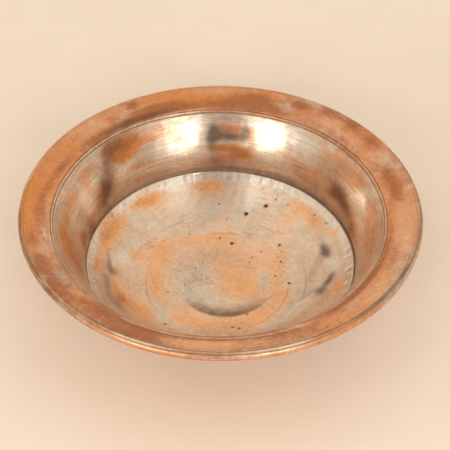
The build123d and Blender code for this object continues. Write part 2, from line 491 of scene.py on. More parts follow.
# eased edge, then the end face and the underside
e_top = on_belly(outer_r, edge_h)
e_low = on_belly(under_r, edge_h)
for k, (fr, dn) in enumerate(((0.0, 0.12), (0.05, 0.45), (0.0, 1.0))):
    px, pz = e_top[0] + (e_low[0] - e_top[0]) * dn, e_top[1] + (e_low[1] - e_top[1]) * dn
    wob = 0.22 * ring_noise(tf, np.full(NF, 125.0), 250, 300, 83, 1) if k < 2 else 0
    rr = px + wob
    rings_f.append(np.stack([rr * np.cos(tf) - 0.7, rr * np.sin(tf), np.full(NF, pz) - (0.1 if k == 0 else 0)], 1))
    sf_list.append(np.full(NF, 129.6))
RU = np.concatenate([np.linspace(e_low[0] - 0.6, 46, 36), np.linspace(43, 1.2, 12)])
for r in RU:
    d = 0.8 * (hammer(np.full(NF, r), tf, r, 12.0, 14.0, 99, 80.0, 0.5) - 0.15) * smooth(46, 54, r) * (1 - smooth(110, 118, r))
    sh = float(floor_shift(r)) if r < 118 else -0.7
    X, Y = r * np.cos(tf) + sh, r * np.sin(tf)
    wp = floor_warp(X, Y, np.full(NF, r)) * (1 - smooth(110, 118, r))
    rings_f.append(np.stack([X, Y, np.maximum(float(floor_z(r, True)) - d + wp, 0.0)], 1))
    sf_list.append(np.full(NF, r))


def disc_mesh(name, rings, n):
    """Rings joined in order, with one point closing each end on the axis."""
    V = np.concatenate(rings, 0) / 1000.0
    m = len(rings)
    top = rings[0].mean(0) / 1000.0
    low = rings[-1].mean(0) / 1000.0
    V = np.concatenate([V, [top, low]], 0)
    i = np.arange(n)
    quads = np.concatenate([np.stack([k * n + (i + 1) % n, k * n + i, (k + 1) * n + i, (k + 1) * n + (i + 1) % n], 1) for k in range(m - 1)], 0)
    t0 = np.stack([np.full(n, m * n), i, (i + 1) % n], 1)
    t1 = np.stack([np.full(n, m * n + 1), (m - 1) * n + (i + 1) % n, (m - 1) * n + i], 1)
    mesh = bpy.data.meshes.new(name)
    mesh.from_pydata(V.tolist(), [], quads.tolist() + t0.tolist() + t1.tolist())
    mesh.polygons.foreach_set("use_smooth", np.ones(len(mesh.polygons), bool))
    mesh.update()
    ob = bpy.data.objects.new(name, mesh)
    scene.collection.objects.link(ob)
    return ob


floor_piece = disc_mesh("floor_sheet", rings_f, NF)
TF = np.concatenate([np.tile(tf, len(rings_f)), [0, 0]])
SFv = np.concatenate([np.concatenate(sf_list), [0, 0]])

# ------------------------------------------------------------------ seam solder
NS = 512
ts = np.arange(NS) * TAU / NS
bead_top = on_belly(outer_r + 0.6, edge_h)
edge_foot = on_belly(under_r, edge_h)
tail = on_belly(under_r, lap_h0 - 0.25)
tail_foot = on_belly(lap_r + 0.8, lap_h0)
prof = []
for h in np.linspace(lap_h0 - 0.15, edge_h, 6):
    prof.append((on_belly(under_r, h), 0))
prof.append((bead_top, 1))
prof.append((((bead_top[0] + foot[0]) / 2, (bead_top[1] + foot[1]) / 2 - 0.18), 1))
prof.append((foot, 1))
for a in np.linspace(FOOT_H, lap_h1, 5)[1:]:
    prof.append((right_of(on_belly(bend_rad, lap_h1), a, BEND), 0))
for h in np.linspace(lap_h1, lap_h0, 6)[1:]:
    prof.append((on_belly(lap_r, h), 0))
prof.append((tail_foot, 2))
rings_s = []
for (r, z), kind in prof:
    w = 0.18 * ring_noise(ts, np.full(NS, 3.0), 90, 60, 61, 2) if kind else 0
    rings_s.append(np.stack([r * np.cos(ts) - 0.7, r * np.sin(ts), np.full(NS, z) + w], 1))
solder = closed_ring_mesh("seam_bead", rings_s[::-1], ts)

# ------------------------------------------------------------------ where the metal is tinned, bare, stained, and where shade and highlights are painted
# Patches of wear and stain, and patches of painted shade, reflection and highlight: kind, angle in degrees, arc length
# from the wall's foot in mm, half sizes.
RIM_PATCHES = [
    ("ox", 116, 76, 6, 6), ("ox", 121, 89, 2, 5), ("ox", 82, 82, 6, 8, 0.7), ("ox", 76, 85, 3, 6, 0.7), ("ox", 43, 92, 4, 11),
    ("ox", 33, 90, 3, 8), ("ox", 7, 80, 4, 6, 0.6), ("ox", 16, 80, 4, 6, 0.6), ("ox", 217, 89, 3, 6, 0.6), ("ox", 206, 86, 4, 6, 0.5),
    ("ox", 62, 87, 3, 5), ("ox", 52, 92, 3, 6), ("ox", 108, 76, 4, 5), ("ox", 9, 84, 5, 7, 0.4),
    ("gr", 138, 85, 3, 7, 0.6), ("gr", 117, 82, 7, 4, 0.55), ("gr", 125, 77, 3, 5, 0.6), ("gr", 160, 72, 2, 6, 0.5), ("gr", 179, 77, 4, 5, 0.35),
    ("gr", 194, 77, 5, 5, 0.4), ("gr", 212, 80, 3, 9, 0.7), ("gr", 216, 81, 2, 7, 0.7), ("gr", 68, 81, 4, 7, 0.8), ("gr", 22, 91, 3, 8, 0.5),
    ("gr", 5, 92, 5, 4, 0.4), ("gr", 330, 99, 4, 7), ("gr", 322, 97, 3, 6), ("gr", 29, 85, 2, 6, 0.5), ("gr", 84, 66, 4, 3),
    ("or", 190, 90, 12, 6, 0.7), ("or", 152, 83, 6, 12, 0.8), ("or", 144, 85, 6, 12, 0.9), ("or", 166, 83, 8, 10, 0.5), ("or", 206, 94, 3, 6),
    ("or", 219, 100, 2, 7), ("or", 97, 80, 9, 8), ("or", 181, 82, 8, 10, 0.4), ("or", 106, 88, 8, 6),
    ("pk", 26, 66, 3, 5), ("pk", 352, 83, 12, 8), ("pk", 48, 78, 5, 9), ("pk", 60, 72, 5, 6), ("pk", 322, 90, 5, 9, 0.5),
    ("pk", 305, 92, 4, 9, 0.5), ("pk", 270, 85, 11, 6, 0.6), ("pk", 36, 76, 6, 7, 0.5), ("pk", 88, 90, 10, 5, 0.6),
    ("dk", 268, 76, 12, 3, 0.25), ("br", 240, 82, 10, 8, 0.5), ("br", 250, 90, 8, 6, 0.5),
    # the left side: brown-red and grey-brown inside, orange outside
    ("ox", 158.5, 75, 4, 4, 0.8), ("br", 175, 79, 5, 5, 0.8), ("br", 167, 76, 4, 4, 0.6), ("gr", 171, 78, 3, 4, 0.35), ("gr", 181.5, 74, 4, 3.5, 0.35), ("br", 183, 76, 5, 4, 0.5), ("or", 178, 90, 14, 5, 0.6),
    ("gr", 191.5, 77.5, 3, 3.5, 0.45), ("br", 193, 79, 4, 4, 0.4), ("gr", 199, 81, 3, 4, 0.4), ("pk", 202, 85, 3, 4, 0.7), ("ox", 206.5, 88, 3, 5, 1.0), ("gr", 211.8, 78.6, 3, 3.5, 0.55),
    ("gr", 217, 78.6, 3, 3.5, 0.5), ("ox", 216.8, 87.5, 3, 5, 1.1), ("pk", 222, 83, 3, 6, 0.8), ("or", 228, 79, 6, 8, 0.9), ("br", 196, 88, 4, 5, 0.5), ("br", 185, 83, 4, 4, 0.5),
    # the right front: a brown band beside the mouth
    ("br", 325, 72, 10, 3.5, 1.0), ("br", 311, 74, 9, 3, 0.9), ("br", 294, 82, 8, 4, 0.5), ("or", 310, 91, 7, 6, 0.4), ("br", 300, 91, 6, 6, 0.4), ("ox", 338, 80, 5, 4, 0.4), ("br", 345, 72, 8, 3.5, 0.7),
]
WALL_PATCHES = [
    # left: a dark streak of painted reflection, then the big worn patch with light streaks under it
    ("dk", 138, 57, 3, 7, 0.40), ("dk", 141, 45, 3.4, 8, 0.50), ("dk", 143.5, 34, 3.6, 8, 0.55), ("dk", 146.5, 22, 4.4, 9, 0.60),
    ("br", 139, 52, 3, 9, 0.8), ("br", 144, 30, 4, 14, 0.7), ("dk", 133, 62, 5, 3, 0.5),
    ("dp", 132, 50, 4, 9, 1.2), ("dp", 126, 50, 6, 5, 1.0), ("dp", 133, 42, 3.5, 6, 1.0), ("dk", 131, 56, 8, 5, 0.35), ("br", 128, 58, 9, 5, 0.6), ("or", 117, 50, 6, 6, 0.35),
    ("lt", 136.5, 27, 3.4, 5, 1.2), ("lt", 131, 34, 4, 2.5, 0.9), ("lt", 129, 20, 5, 3, 0.8), ("dk", 128, 33, 5, 1.5, 0.35), ("or", 129, 25, 3, 2.5, 0.9),
    ("or", 122, 25, 4.5, 2.6, 0.9), ("lt", 120, 16, 7, 2.5, 0.7), ("lt", 113, 30, 7, 7, 0.8), ("dk", 124, 8, 12, 2.5, 0.4),
    # the dark patch at 196 degrees, 8 mm up, is painted shade low on the wall
    ("gd", 153.8, 51.8, 3.5, 5, 1.4), ("gd", 169, 48, 5.5, 6, 1.5), ("or", 182, 48, 6, 6, 0.5), ("pk", 154.3, 42, 2.4, 4, 1.3), ("lt", 150.8, 40.5, 2.4, 5, 1.2), ("lt", 160, 33, 4, 9, 0.8), ("lt", 162, 23.5, 4, 6, 0.9), ("or", 150, 26, 3, 5, 0.8), ("br", 149, 25, 3.5, 5, 0.6), ("br", 175, 17, 4, 8, 0.8), ("gr", 180.5, 38, 4, 6, 0.9), ("or", 188, 49, 4, 6, 0.6), ("or", 195.5, 47, 5, 6, 0.5), ("br", 198, 32, 6, 8, 0.8), ("dk", 198, 30, 6, 8, 0.40), ("dk", 196, 8, 10, 6, 0.35),
    ("br", 152, 18, 4, 9, 0.7), ("dk", 152, 14, 5, 9, 0.6), ("br", 165, 10, 5, 12, 0.6), ("dk", 166, 16, 3, 12, 0.5), ("dk", 176, 12, 7, 6, 0.4),
    ("lt", 174, 40, 3, 10, 0.6), ("gr", 160, 52, 2, 7, 0.5), ("br", 190, 40, 8, 8, 0.5), ("dk", 148, 32, 2, 10, 0.35),
    ("gr", 167, 32, 4, 8, 0.6), ("gr", 148, 60, 3, 6, 0.6),
    # between the two bright spots: a painted dark reflection and a bare patch under it
    ("gr", 86, 58.5, 8, 3.0, 1.1), ("dk", 86, 58, 7, 3.6, 0.60), ("br", 86, 46, 8, 9, 0.9),
    ("dk", 86, 46, 6.5, 8, 0.56), ("dk", 92.3, 45, 2.4, 9, 0.66), ("dk", 94.5, 33, 2.4, 17, 0.60), ("dk", 86, 38.5, 6.0, 4.4, 0.50), ("or", 85.5, 47.5, 3.4, 3.4, 0.9),
    ("dk", 79.2, 47, 2.0, 9, 0.66), ("lt", 99, 34, 3.2, 20, 0.6),
    ("dp", 89.5, 26.5, 6, 3.2, 1.3), ("dk", 88, 26, 9, 6, 0.38), ("dp", 80.5, 21.5, 4.4, 5.4, 1.3), ("dk", 80, 20.5, 5, 6, 0.50), ("lt", 88, 32.4, 6, 1.5, 0.5), ("br", 91, 14, 8, 7, 0.8), ("dk", 91, 11, 9, 6, 0.35),
    # the light patches at 108 and 112 degrees, low on the wall, are painted reflection that lifts it
    ("dk", 108, 4.5, 12, 1.8, 0.4), ("lt", 108, 19, 9, 7, 1.7), ("br", 106, 9, 10, 2.2, 0.4), ("dk", 84, 4.5, 12, 2.0, 0.5), ("lt", 112, 12, 7, 2, 0.5),
    # right: a pale patch beside the spot, painted light round it, then warm brown streaks and painted darker shade
    ("lt", 61, 48, 7.5, 10, 1.2), ("lt", 69, 27, 6, 5, 0.7), ("pk", 76, 58, 3, 3, 0.8), ("lt", 52, 38, 4, 9, 0.8),
    ("lt", 64, 20, 5, 4, 0.7), ("br", 56, 21, 4, 6, 0.6), ("br", 67, 10, 7, 4, 0.6), ("dk", 62, 5, 12, 2.2, 0.5), ("lt", 57, 12, 6, 1.6, 0.5), ("lt", 66, 14, 7, 5, 1.0), ("dk", 86, 36, 9, 5, 0.36), ("dk", 131, 50, 7, 8, 0.40),
    ("gd", 46, 26, 5, 6, 0.9), ("or", 49, 14, 5, 5, 0.5), ("pk", 42, 52, 5, 6, 0.9), ("pk", 34, 51, 6, 7, 1.3), ("pk", 28, 48, 5, 6, 1.2),
    ("or", 22, 56, 4, 4, 0.7), ("br", 40, 38, 4, 4, 0.4), ("dk", 39, 39, 3, 2, 0.3),
    ("br", 32, 26, 5, 9, 0.9), ("dk", 33, 28, 4.5, 8, 0.45), ("dk", 26, 21, 7.5, 8, 0.70), ("br", 26, 21, 8, 9, 0.9), ("dk", 42, 10, 7, 6, 0.45),
    # the light patch at 22.5 degrees is a painted glint
    ("lt", 22.5, 35.5, 2.6, 3.2, 1.3), ("lt", 29, 40, 3, 4, 0.6), ("lt", 16, 40, 4, 9, 1.2), ("dk", 31, 40, 1.2, 5, 0.5),
    ("dk", 15, 8, 7, 7, 0.45), ("pk", 6, 44, 5, 10, 1.2), ("lt", 8, 28, 4, 10, 0.9),
    ("br", 5, 48, 3, 6, 0.3), ("or", 353, 45, 10, 12, 0.4), ("br", 350, 40, 9, 9, 0.2), ("br", 12, 12, 5, 9, 0.6),
    ("br", 338, 50, 10, 18, 0.3), ("gr", 15, 33, 3, 6, 0.5), ("or", 200, 40, 12, 12, 0.4), ("br", 192, 20, 10, 9, 0.4), ("gr", 176, 58, 10, 4, 0.4),
    ("or", 240, 40, 12, 10, 0.5), ("br", 300, 26, 12, 8, 0.3), ("gd", 270, 48, 14, 7, 0.5), ("or", 318, 24, 7, 6, 0.4), ("lt", 285, 40, 16, 14, 0.4), ("lt", 225, 30, 12, 10, 0.4),
]
# The same on the floor: kind, x, y, half sizes, in mm, and the turn of the patch in degrees.
FLOOR_PATCHES = [
    ("od", -112, 54, 11, 17, -20, 1.2), ("od", -117, 32, 7, 12, -8, 0.9), ("od", -78, 92, 19, 7, 32, 1.2), ("od", -15, 118, 18, 6, 2, 1.1), ("br", -12, 112, 16, 8, 0, 0.3),
    ("pk", 31, 116, 9, 5, 0), ("or", -45, 118, 9, 3, 10, 0.5), ("od", 81, 84, 6, 12, 40, 0.7), ("od", 97, 64, 7, 13, 30, 0.7),
    ("or", 114, 45, 6, 7, 15, 0.9), ("gd", 71, 79, 8, 10, 40), ("od", -122, -3, 3, 12, 0, 1.0), ("or", -84, 31, 9, 6, 0, 0.7),
    ("or", -66, 24, 9, 20, -12, 0.7), ("or", -58, 45, 11, 9, 0, 0.8), ("or", -32, 60, 25, 6, 12), ("or", 1, 64, 17, 6, -2),
    ("or", -64, -6, 8, 15, 12), ("od", -99, -27, 6, 14, 30, 0.8), ("or", -74, -47, 10, 18, 38, 1.1), ("or", -88, -42, 6, 12, 34, 0.5), ("or", -32, -50, 17, 8, -14),
    ("or", -5, -58, 19, 6, -4), ("or", 29, -55, 16, 7, 12), ("or", 15, 16, 17, 26, 0, 0.7), ("pk", 17, 32, 17, 14, 0),
    ("or", 24, -6, 14, 12, 0), ("or", 59, 27, 9, 21, -8, 0.7), ("pk", 42, 50, 14, 9, -20), ("pk", 11, 42, 14, 9, 0),
    ("pk", 4, 80, 10, 12, 0, 0.5), ("pk", 62, 70, 9, 12, 20, 0.6), ("or", 41, -44, 14, 8, 25), ("or", 60, -23, 8, 12, -20, 0.8), ("pk", 46, 30, 10, 22, 0, 0.5),
    # the dark patches by the dents are dark stain and painted dark reflection of the dents
    ("dk", -111, 11, 3, 14, 8, 0.55), ("br", -105, 0, 6, 6, 0, 0.7), ("dk", -105, 0, 7, 7, 0, 0.45), ("dk", -106, -43, 8, 13, 30, 0.50), ("dk", -112, -18, 4, 12, 10, 0.35), ("dk", -94, -52, 6, 10, 35, 0.35),
    ("br", -98, -40, 10, 9, 30, 0.6), ("dk", -110, -22, 5, 12, 10, 0.4),
    ("dk", 104, 27, 7, 8, 0, 0.62), ("dk", 97, 15, 7, 13, -35, 0.40), ("dk", 108, 20, 4, 7, 20, 0.3), ("dk", 90, 2, 6, 8, -30, 0.3),
    ("dk", 101, 38, 3.5, 9, 12, 0.45), ("dk", 103, -18, 5, 15, -38, 0.66), ("dk", 97, -27, 7, 6, -30, 0.45), ("dk", 108, -10, 4, 9, -20, 0.35),
    ("dk", 82, -26, 14, 4, 28, 0.4), ("dk", 66, -30, 9, 4, 30, 0.25), ("br", 112, -18, 6, 12, -10, 0.5), ("br", 0, -68, 42, 13, 0, 0.55), ("or", 116, -30, 5, 9, -20, 0.8),
    ("gr", -28, 8, 19, 24, 0, 1.0), ("gr", -8, -18, 24, 10, 0, 0.7), ("gr", 43, 6, 5, 18, -6, 1.1), ("gr", -22, 92, 31, 9, 0, 0.3),
    ("dk", -2, 92, 20, 12, 0, 0.26), ("dk", 30, 92, 16, 8, -14, 0.26), ("dk", -32, 80, 14, 8, 0, 0.18), ("pk", 0, 100, 22, 12, 0, 0.5),
    ("gr", 20, 96, 30, 9, 0, 0.3), ("gr", 78, -14, 9, 14, -10, 0.7), ("gr", -55, -48, 5, 10, 0, 1.1), ("gr", 62, -44, 9, 14, -42, 0.8),
    ("lt", 74, -44, 6.5, 20, -42, 2.0), ("gr", 55, -60, 5, 14, -42, 0.6), ("dk", 55, -60, 5, 14, -42, 0.25), ("lt", 92, -34, 5, 12, -30, 0.6), ("lt", 112, 4, 6, 14, 8, 0.9), ("lt", -98, 22, 5, 18, -20, 0.5), ("lt", -62, -56, 8, 12, 20, 0.5),
    # the light patches near the back edge at x -43 and 30 are painted reflections of the lamps
    ("lt", -43, 115, 19, 7, 20, 0.8), ("lt", -40, 100, 8, 12, 12, 0.3), ("lt", 30, 119, 12, 4, -8, 1.0), ("lt", 33, 106, 8, 12, -6, 0.8),
]


def kinds(shape):
    # the oxide masks hold real oxide and, in places, painted shade; the dark masks hold real stains and also painted
    # shade and reflection
    return {k: np.zeros(shape) for k in ("bare", "warm", "pale", "oxide_and_shade", "dark", "grey")}


def lay(m, kind, w):
    """Adds one patch with weight array w to the masks."""
    if kind == "or":
        m["bare"] += 0.9 * w; m["warm"] += 0.45 * w
    elif kind == "od":
        m["bare"] += 1.0 * w; m["warm"] += 0.75 * w; m["oxide_and_shade"] += 0.38 * w
    elif kind == "dp":
        m["bare"] += 1.1 * w; m["warm"] += 1.0 * w; m["oxide_and_shade"] += 0.35 * w
    elif kind == "pk":
        m["bare"] += 0.75 * w; m["pale"] += 0.7 * w; m["oxide_and_shade"] -= 0.35 * w; m["dark"] -= 0.12 * w
    elif kind == "gd":
        m["bare"] += 0.8 * w; m["warm"] += 0.1 * w; m["pale"] += 0.5 * w; m["oxide_and_shade"] -= 0.6 * w
    elif kind == "ox":
        m["oxide_and_shade"] += 0.85 * w; m["bare"] += 0.3 * w
    elif kind == "br":
        m["bare"] += 0.4 * w; m["oxide_and_shade"] += 0.75 * w
    elif kind == "dk":
        m["dark"] += 0.9 * w
    elif kind == "gr":
        m["bare"] -= 0.6 * w; m["grey"] += 0.5 * w
    elif kind == "lt":
        m["bare"] -= 0.45 * w; m["pale"] += 0.8 * w


def rim_masks(TH, S):
    m = kinds(S.shape)
    wall_z = 1 - smooth(S_MOUTH + 1.8, S_MOUTH + 3.8, S)
    rim_z = 1 - wall_z
    # the tin ends part way over the roll
    band = smooth(S_ROLL - 0.4, S_ROLL + 0.4, S) * (1 - smooth(S_ROLL + 2.9, S_ROLL + 3.5, S))
    band = band * (1 - blob(TH, S, 88, S_ROLL, 78, 60, 0, 6))
    m["bare"] += (0.28 + 0.08 * bump(S, S_MOUTH + 1.5, 3.0) - 0.12 * blob(TH, S, 270, 35, 75, 60, 0, 4)) * wall_z + 0.95 * rim_z * (1 - band) + 0.25 * band
    m["grey"] += 0.10 * band
    m["oxide_and_shade"] += rim_z * (1 - band) * (0.18 + 0.55 * np.clip(ring_noise(TH, S, 20, 22, 141, 4), -0.4, 1))
    m["warm"] += rim_z * np.clip(0.32 + 0.9 * ring_noise(TH, S, 16, 26, 151, 3), 0, 1)
    m["bare"] -= rim_z * (1 - band) * np.clip(0.9 * ring_noise(TH, S, 24, 14, 171, 4) - 0.04, 0, 0.45)
    m["pale"] += rim_z * np.clip(1.2 * ring_noise(TH, S, 18, 18, 181, 3) - 0.1, 0, 0.5)
    m["grey"] += rim_z * np.clip(0.8 * ring_noise(TH, S, 30, 12, 161, 4) - 0.10, 0, 1)
    m["oxide_and_shade"] += rim_z * (0.35 * blob(TH, S, 226, 88, 17, 14) + 0.17 * (1 - band) * blob(TH, S, 262, 88, 85, 60, 0, 4))
    for k, t0, s0, dt, ds, *amt in RIM_PATCHES:
        lay(m, k, blob(TH, S, t0, s0, dt * 1.2, ds * 1.1) * rim_z * (amt[0] if amt else 1.0))
    for k, t0, s0, dt, ds, *amt in WALL_PATCHES:
        lay(m, k, blob(TH, S, t0, s0, dt * 1.2, ds * 1.1) * wall_z * (amt[0] if amt else 1.0))
    # painted dark reflection in the turn of the mouth at the back and back left, and a polished lip in front
    m["oxide_and_shade"] += 0.70 * bump(S, S_MOUTH + 9.0, 6.0) * blob(TH, S, 88, S_MOUTH + 9, 62, 40, 0, 4)
    m["dark"] += 0.28 * bump(S, S_MOUTH + 8.0, 5.5) * blob(TH, S, 95, S_MOUTH + 9, 55, 40, 0, 4)
    m["dark"] += 0.50 * bump(S, S_MOUTH + 6.0, 4.5) * blob(TH, S, 122, S_MOUTH + 6, 17, 40, 0, 3)
    m["oxide_and_shade"] += 0.50 * bump(S, S_MOUTH + 7.0, 5.0) * blob(TH, S, 122, S_MOUTH + 6, 20, 40, 0, 3)
    # a painted highlight along the ridge between the cut lines, and a brown band of painted shade at the right back
    m["pale"] += 0.25 * bump(S, S_MOUTH + 1.8, 1.6) * (1 - blob(TH, S, 55, S_MOUTH, 40, 60, 0, 4))
    m["bare"] += 0.55 * bump(S, S_MOUTH + 1.8, 2.4) * blob(TH, S, 55, S_MOUTH, 42, 60, 0, 4)
    m["oxide_and_shade"] += 0.35 * bump(S, S_MOUTH + 2.2, 4.0) * blob(TH, S, 60, S_MOUTH, 36, 60, 0, 4)
    m["pale"] += 0.12 * smooth(S_ROLL + 0.2, S_ROLL + 1.2, S)
    # the lip's light line is polish with a painted glint on it; the dark line under it is painted shade
    LIP = 75.2
    lip = blob(TH, S, 268, S_MOUTH, 36, 60, 0, 4)
    m["pale"] += 1.3 * lip * bump(S, LIP, 1.3)
    m["bare"] -= 0.30 * lip * bump(S, LIP, 1.3)
    m["dark"] += 0.80 * lip * bump(S, LIP + 2.3, 0.9)
    m["oxide_and_shade"] += 0.30 * lip * bump(S, LIP + 4.0, 3.0)
    # painted shade in the corner above the seam, with oxide
    side = 0.45 + 0.55 * np.abs(np.cos(TH)) ** 1.5
    m["dark"] += (0.44 * np.exp(-(np.maximum(S, 0) / (2.2 + 3.0 * side)) ** 2) + 0.18 * np.exp(-np.maximum(S, 0) / 11.0) * side) * wall_z
    m["oxide_and_shade"] += 0.30 * np.exp(-np.maximum(S, 0) / 7.0) * wall_z
    m["dark"] += 0.15 * np.exp(-(np.maximum(S, 0) / 6.5) ** 2) * wall_z * blob(TH, S, 88, 0, 82, 60, 0, 4) * (0.75 + 0.6 * ring_noise(TH, S, 10, 60, 221, 3))
    m["grey"] += 0.10 * np.exp(-np.maximum(S, 0) / 9.0) * wall_z
    # lighter just above the seam at 352 degrees: painted light, set against a dark reflection there
    m["dark"] -= 0.70 * blob(TH, S, 352, 2, 20, 9, 0, 3)
    m["pale"] += 0.5 * blob(TH, S, 352, 2, 18, 5, 0, 3)
    m["oxide_and_shade"] -= 0.25 * blob(TH, S, 352, 3, 16, 7, 0, 3)
    # painted highlights at 285 and 250 degrees on the tinned band, duller and darker on the rest of it; painted shade
    # darkens the outer edge at the left and at the right side; dark grey tarnish at the lower right
    edge = smooth(S_ROLL + 0.4, S_ROLL + 2.6, S)
    shine = blob(TH, S, 285, S_ROLL, 9, 60, 0, 4) + blob(TH, S, 250, S_ROLL, 9, 60, 0, 4)
    m["pale"] += 0.9 * band * shine
    m["bare"] += 0.55 * band * (1 - shine)
    m["oxide_and_shade"] += band * (1 - shine) * (0.30 + 0.5 * ring_noise(TH, S, 24, 60, 191, 3))
    m["dark"] += band * (1 - shine) * np.clip(0.15 + 0.7 * ring_noise(TH, S, 30, 60, 201, 3), 0, 0.7)
    m["dark"] += 0.62 * edge * blob(TH, S, 200, 100, 27, 60, 0, 4)
    m["grey"] += 0.15 * edge * blob(TH, S, 212, 100, 26, 60, 0, 4)
    m["bare"] -= 0.15 * edge * blob(TH, S, 205, 100, 28, 60, 0, 4)
    dark_r = smooth(S_ROLL - 0.6, S_ROLL + 0.3, S) * (1 - smooth(S_ROLL + 3.0, S_ROLL + 4.2, S)) * blob(TH, S, 322, 100, 22, 60, 0, 4)
    m["dark"] += dark_r * (0.62 + 0.5 * ring_noise(TH, S, 26, 60, 211, 3))
    m["grey"] += 0.45 * dark_r
    m["grey"] += 0.2 * edge * blob(TH, S, 330, 100, 12, 60, 0, 4)
    m["bare"] -= 0.15 * edge * blob(TH, S, 330, 100, 13, 60, 0, 4)
    m["dark"] += 0.6 * edge * blob(TH, S, 8, 100, 30, 60, 0, 4)
    wob = 0.35 * ring_noise(TH, S, 14, 300, 31, 1)
    line = 0.80 * bump(S + wob, S_MOUTH + 0.2, 0.7) + 0.70 * bump(S + wob, S_MOUTH + 3.3, 0.65)
    near = blob(TH, S, 268, S_ROLL, 78, 60, 0, 4)
    line += 0.75 * bump(S, S_ROLL + 0.1, 0.6) * (0.25 + 0.75 * near) + 0.6 * bump(S, S_ROLL + 3.15, 0.5) * (0.3 + 0.7 * near)
    line += 0.5 * bump(S, S_ROLL - 3.3, 0.45) * (0.55 + 0.45 * ring_noise(TH, S, 22, 300, 41, 2)) * (0.3 + 0.7 * near)
    m["oxide_and_shade"] += 0.40 * smooth(S_ROLL + 1.5, S_ROLL + 3.0, S) * blob(TH, S, 267, S_ROLL, 10, 60, 0, 4)
    return m, line


def outer_masks(TH, S):
    m = kinds(S.shape)
    m["bare"] += 1.0
    m["oxide_and_shade"] += 0.40 + 0.25 * np.exp(-np.maximum(S, 0) / 20.0) + 0.22 * ring_noise(TH, S, 7, 45, 231, 2)
    m["dark"] += 0.14 + 0.35 * np.exp(-np.maximum(S, 0) / 6.0) + 0.25 * ring_noise(TH, S, 5, 60, 241, 2)
    m["warm"] += 0.5 * smooth(S_ROLL + 2, S_ROLL + 6, S)
    return m, np.zeros(S.shape)


def floor_masks(X, Y, R):
    m = kinds(R.shape)
    XC, YC = X + 3.4, Y
    rc = np.hypot(XC, YC)
    m["bare"] += 0.34 + 0.24 * (1 - smooth(58, 74, rc)) + 0.08 * (1 - smooth(80, 100, rc))
    for k, x0, y0, dx, dy, turn, *amt in FLOOR_PATCHES:
        c, s = math.cos(math.radians(turn)), math.sin(math.radians(turn))
        u = (c * (X - x0) + s * (Y - y0)) / (dx * 1.1)
        v = (-s * (X - x0) + c * (Y - y0)) / (dy * 1.1)
        lay(m, k, np.exp(-(u * u + v * v) ** 1.25) * (amt[0] if amt else 0.8))
    edge = smooth(121.5, 125.0, R)
    m["bare"] -= 0.6 * edge
    m["pale"] += 0.5 * edge
    # shade in the front of the turn that bounds the flat middle
    A = np.degrees(np.arctan2(Y, X))
    turn_in = smooth(27, 43, R) * (1 - smooth(45.0, 47.5, R))
    RC = np.hypot(X - 5.0, Y)
    AC = np.degrees(np.arctan2(Y, X - 5.0))
    turn_in = smooth(17, 45, RC) * (1 - smooth(46.5, 51.0, RC))
    m["oxide_and_shade"] += 0.28 * turn_in * np.exp(-((AC + 86) / 62) ** 4)
    m["dark"] += 0.66 * turn_in ** 1.5 * np.exp(-((AC + 93) / 60) ** 4)
    m["bare"] -= 0.35 * turn_in * np.exp(-((AC + 86) / 60) ** 4)
    # copper shows between the dark turn and the outer engraved circle
    m["bare"] += 0.25 * np.exp(-((R - 56) / 8.0) ** 2) * np.exp(-((A + 90) / 70) ** 4)
    # little blows across the seam: light ticks are painted highlights on their facets, dark ticks painted shade
    tick = ring_noise(np.arctan2(Y, X), R, 250, 300, 83, 1)
    m["dark"] += smooth(123.5, 126.0, R) * np.clip(0.5 * tick, 0, 0.30)
    tick2 = ring_noise(np.arctan2(Y, X) + 0.01 * (R - 120), R, 210, 160, 87, 2)
    m["pale"] += smooth(119, 123, R) * np.clip(1.5 * tick2, 0, 0.8) * blob(np.arctan2(Y, X), R, 105, 120, 50, 60, 0, 4)
    m["dark"] += smooth(120, 124, R) * np.clip(-0.5 * tick2 - 0.02, 0, 0.13)
    return m


def pack_masks(m, line, specks=None):
    # the wear channels hold painted shade too, in the oxide and dark masks
    wear_and_shade = np.stack([m["bare"] * 0.5 + 0.25, m["oxide_and_shade"], m["dark"], m["grey"]], -1)
    mark = np.stack([line, m["warm"], m["pale"], np.full_like(line, 0.25) if specks is None else specks], -1)
    return wear_and_shade.reshape(-1, 4), mark.reshape(-1, 4)


m_i, line_i = rim_masks(TH_i, S_i)
m_o, line_o = outer_masks(TH_o, S_o)
wi, ki = pack_masks(m_i, line_i)
wo, ko = pack_masks({k: v[::-1] for k, v in m_o.items()}, line_o[::-1])
put_attr(wall, "wear_and_shade", np.concatenate([wi, wo], 0))
put_attr(wall, "mark", np.concatenate([ki, ko], 0))

co_f = np.empty(len(floor_piece.data.vertices) * 3, np.float32)
floor_piece.data.vertices.foreach_get("co", co_f)
co_f = co_f.reshape(-1, 3) * 1000.0
Xf, Yf = co_f[:, 0], co_f[:, 1]
up_side = np.concatenate([np.repeat(np.arange(len(rings_f)) < len(RF) + 2, NF), [True, False]])
mf_ = floor_masks(Xf, Yf, SFv)
circ = 0.46 * np.exp(-((SFv - C1_R) / 0.45) ** 2) * circle_seen(TF, 1)
circ += 0.46 * np.exp(-((SFv - C2_R) / 0.45) ** 2) * circle_seen(TF, 2)
line_f = np.clip(circ + pit_field(Xf, Yf) + 0.28 * scratch_field(Xf, Yf), 0, 1) * up_side
soot = ring_noise(TF, SFv, 3, 60, 251, 3)
under = {"bare": 1.0, "warm": 0.3, "oxide_and_shade": 0.42 + 0.45 * ring_noise(TF, SFv, 4, 40, 261, 3), "dark": 0.26 + 0.55 * soot}
for k in mf_:
    mf_[k] = np.where(up_side, mf_[k], under.get(k, 0.0))
